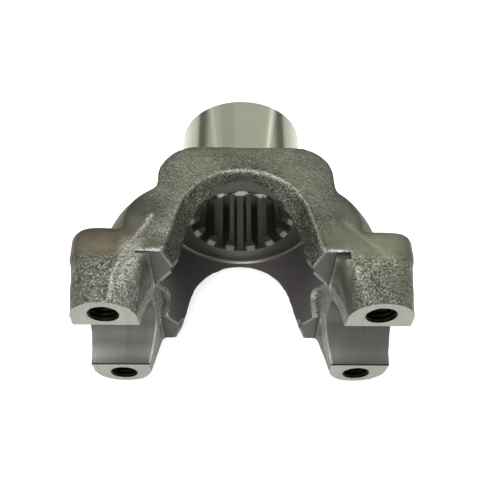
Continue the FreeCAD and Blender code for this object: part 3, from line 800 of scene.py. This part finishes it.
step = block("step_cutter", (-STEP_HALF, -PAST_FRONT, -PAST_Z), (STEP_HALF, STEP_PLANE, PAST_Z), STEP_STEEL)
cuts = [face, step, saddle_cutter(SADDLE_STEEL, CHAMFER_SHADE_STEEL), pocket]
cuts.append(bore_cutter(TOOTH_STEEL, SPLINE_STEEL, PILOT_STEEL))
for side, (notch_front, notch_floor) in ((-1, LEFT_NOTCH), (1, RIGHT_NOTCH)):
    for level in (-1, 1):
        near, far = side * (STEP_HALF - NOTCH_OVERLAP), side * NOTCH_END
        corners = [(near, notch_front, level * notch_floor), (far, STEP_PLANE, level * PAST_Z)]
        low, high = np.min(corners, axis=0), np.max(corners, axis=0)
        cuts.append(block(f"notch_{side}_{level}", low, high, NOTCH_SHADE_STEEL))
for number, (side, level) in enumerate(((-1, 1), (1, 1), (-1, -1), (1, -1))):
    cuts.append(thread_cutter(f"tap_{number}", side * BOLT_X, level * BOLT_Z, THREAD_STEEL))
machine(yoke, [("UNION", hub)] + [("DIFFERENCE", cut) for cut in cuts])
mark_edges(yoke.data, SKIN_STEEL.name)

mesh = yoke.data
place = np.empty(len(mesh.vertices) * 3, dtype=np.float32)
mesh.vertices.foreach_get("co", place)
place = place.reshape(-1, 3)
for name, amount in (("grain", grain_at), ("wear_and_highlight", wear_and_highlight_at)):
    layer = mesh.attributes.new(name, "FLOAT", "POINT")
    layer.data.foreach_set("value", amount(*place.T).astype(np.float32))

# How far a stain reaches, as a multiple of its size, where it fades to nothing
BLOT_CORE = 1.4


def blot(where, size, color):
    """A soft-edged patch of colour about a point, as a multiplier for each vertex."""
    away = np.linalg.norm((place - np.array(where)) / np.array(size), axis=1)
    share = np.clip(BLOT_CORE - away, 0.0, 1.0)[:, None]
    return 1.0 + share * (np.array(color) - 1.0)


# Tints of both lugs and a lighter plateau, with painted shade beside the web, on the lip over the bore and
# on the ears' inner edges
stain_and_shade = blot((-50, 25, 34), (14, 8, 8), (0.8, 0.69, 0.6))
stain_and_shade = stain_and_shade * blot((46, 22, 34), (18, 10, 8), (1.3, 1.35, 1.2))
# Painted shade where the shoulders shade the web's sides
stain_and_shade = stain_and_shade * blot((-36, 38, 34), (9, 7, 10), (0.42, 0.47, 0.46))
stain_and_shade = stain_and_shade * blot((36, 38, 34), (9, 6, 10), (0.7, 0.7, 0.7))
stain_and_shade = stain_and_shade * blot((0, 46, 34), (22, 22, 12), (1.15, 1.15, 1.1))
# Painted shade on the lip over the bore and on the ears' inner edges
stain_and_shade = stain_and_shade * blot((0, 53.5, 31), (15, 6, 6), (0.3, 0.3, 0.3))
stain_and_shade = stain_and_shade * blot((-34, 10, 26), (3, 9, 9), (0.5, 0.5, 0.5))
stain_and_shade = stain_and_shade * blot((34, 10, 26), (3, 9, 9), (0.6, 0.6, 0.6))
tint = mesh.attributes.new("stain_and_shade", "FLOAT_COLOR", "POINT")
rgba = np.concatenate([stain_and_shade, np.ones((len(place), 1))], axis=1)
tint.data.foreach_set("color", rgba.astype(np.float32).ravel())
mesh.transform(Matrix.Scale(MM, 4))

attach(yoke, "root")
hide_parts("yoke_flange")

# ---- floor ----

# How brightly the floor shows by itself, where 1 is white; the rest of its light keeps the shadow
FLOOR_GLOW = 0.72
# What mirrors see of that glow, which fades from 12 to 30 cm from the middle
MIRRORED_GLOW = (0.12, 0.3, 0.45, 0.05)
FLOOR_HALF = 4000.0

white = Recipe("floor_white")
path = white.nodes.new("ShaderNodeLightPath").outputs
away = white.nodes.new("ShaderNodeVectorMath")
away.operation = "LENGTH"
white.put(away.inputs[0], white.coordinates)
mirrored = white.math("MULTIPLY", white.ramp(away.outputs["Value"], *MIRRORED_GLOW), path["Is Glossy Ray"])
seen = white.math("MAXIMUM", path["Is Camera Ray"], mirrored)
seen = white.math("MAXIMUM", seen, path["Is Transmission Ray"])
white.put(white.shader.inputs["Emission Color"], (1.0, 1.0, 1.0))
white.put(white.shader.inputs["Emission Strength"], white.math("MULTIPLY", seen, FLOOR_GLOW))
white.put(white.shader.inputs["Specular IOR Level"], 0.0)
white.finish((0.75, 0.75, 0.75), metallic=0.0, roughness=0.9)
corners = [(a * FLOOR_HALF, b * FLOOR_HALF, -FLAT) for a, b in ((-1, -1), (1, -1), (1, 1), (-1, 1))]
floor = make_object("floor", corners, [(0, 1, 2, 3)], [white.material], [0])
floor.data.transform(Matrix.Scale(MM, 4))

# ---- sky ----

# The sky grows brighter with height, and a band on its left is dimmer, which the hub's stripes show
SKY_COLOR = (0.96, 0.97, 0.92, 1.0)
SKY_RISE = (0.14, 0.38, 0.2, 0.7)
DIM_BAND = ((-0.5, -0.42, 1.0, 0.84), (-0.22, -0.12, 0.84, 1.0))

world = bpy.data.worlds.new("world")
bpy.context.scene.world = world
world.use_nodes = True
tree = world.node_tree
direction = tree.nodes.new("ShaderNodeSeparateXYZ")
tree.links.new(tree.nodes.new("ShaderNodeTexCoord").outputs["Generated"], direction.inputs[0])
strength = smooth_ramp(tree, direction.outputs["Z"], SKY_RISE)
for edge in DIM_BAND:
    dimmed = tree.nodes.new("ShaderNodeMath")
    dimmed.operation = "MULTIPLY"
    tree.links.new(strength, dimmed.inputs[0])
    tree.links.new(smooth_ramp(tree, direction.outputs["X"], edge), dimmed.inputs[1])
    strength = dimmed.outputs[0]
sky = tree.nodes["Background"]
sky.inputs["Color"].default_value = SKY_COLOR
tree.links.new(strength, sky.inputs["Strength"])

# The camera sees plain white in its place
backdrop = tree.nodes.new("ShaderNodeBackground")
backdrop.inputs["Color"].default_value = (1.0, 1.0, 1.0, 1.0)
shown = tree.nodes.new("ShaderNodeMixShader")
tree.links.new(tree.nodes.new("ShaderNodeLightPath").outputs["Is Camera Ray"], shown.inputs["Fac"])
tree.links.new(sky.outputs["Background"], shown.inputs[1])
tree.links.new(backdrop.outputs["Background"], shown.inputs[2])
tree.links.new(shown.outputs["Shader"], tree.nodes["World Output"].inputs["Surface"])

# ---- lamps ----

PIECE_MIDDLE, HUB_MIDDLE = (0, 0.04, 0), (0, 0.08, 0.02)
STRIP = {"width": 0.03, "height": 0.5}


def lamp(name, place, target, width, height, power):
    """Places a rectangular soft light that faces a point."""
    light = bpy.data.lights.new(name, "AREA")
    light.shape = "RECTANGLE"
    light.size, light.size_y = width, height
    light.energy = power
    thing = bpy.data.objects.new(name, light)
    thing.location = place
    thing.rotation_euler = (Vector(target) - Vector(place)).to_track_quat("-Z", "Y").to_euler()
    bpy.context.scene.collection.objects.link(thing)


lamp("top_light", (-0.15, -0.05, 0.9), PIECE_MIDDLE, width=0.5, height=0.5, power=4.9)
lamp("front_light", (-0.35, -0.8, 0.5), PIECE_MIDDLE, width=0.4, height=0.4, power=1.5)
# The hub mirrors these two as bright lines
lamp("left_strip", (-0.54, 0.7, 0.4), HUB_MIDDLE, **STRIP, power=0.014)
lamp("right_strip", (0.56, 0.7, 0.38), HUB_MIDDLE, **STRIP, power=0.04)

# ---- camera ----

CAMERA_TILT, CAMERA_ROLL, CAMERA_YAW = math.radians(56.3757), math.radians(1.6059), math.radians(1.4577)
LENS_PIXELS, IMAGE_PIXELS, SENSOR = 626.63, 480, 36.0
DISTANCE, UP_SHIFT, SIDE_SHIFT = 0.2349, -0.0399, 0.0017
CLIP_START, CLIP_END = 0.01, 20.0

forward = Vector((0, math.cos(CAMERA_TILT), -math.sin(CAMERA_TILT)))
upward = Vector((0, math.sin(CAMERA_TILT), math.cos(CAMERA_TILT)))
sideways = Vector((1, 0, 0))
spot = -forward * DISTANCE - sideways * SIDE_SHIFT - upward * UP_SHIFT
tilt = Matrix((sideways, upward, -forward)).transposed().to_4x4()
camera = bpy.data.objects.new("camera", bpy.data.cameras.new("camera"))
camera.data.sensor_width = SENSOR
camera.data.lens = LENS_PIXELS / IMAGE_PIXELS * SENSOR
camera.data.clip_start, camera.data.clip_end = CLIP_START, CLIP_END
yaw = Matrix.Rotation(-CAMERA_YAW, 4, "Z")
camera.matrix_world = yaw @ Matrix.Translation(spot) @ tilt @ Matrix.Rotation(CAMERA_ROLL, 4, "Z")
bpy.context.scene.collection.objects.link(camera)
bpy.context.scene.camera = camera
bpy.context.scene.view_settings.view_transform = "Standard"
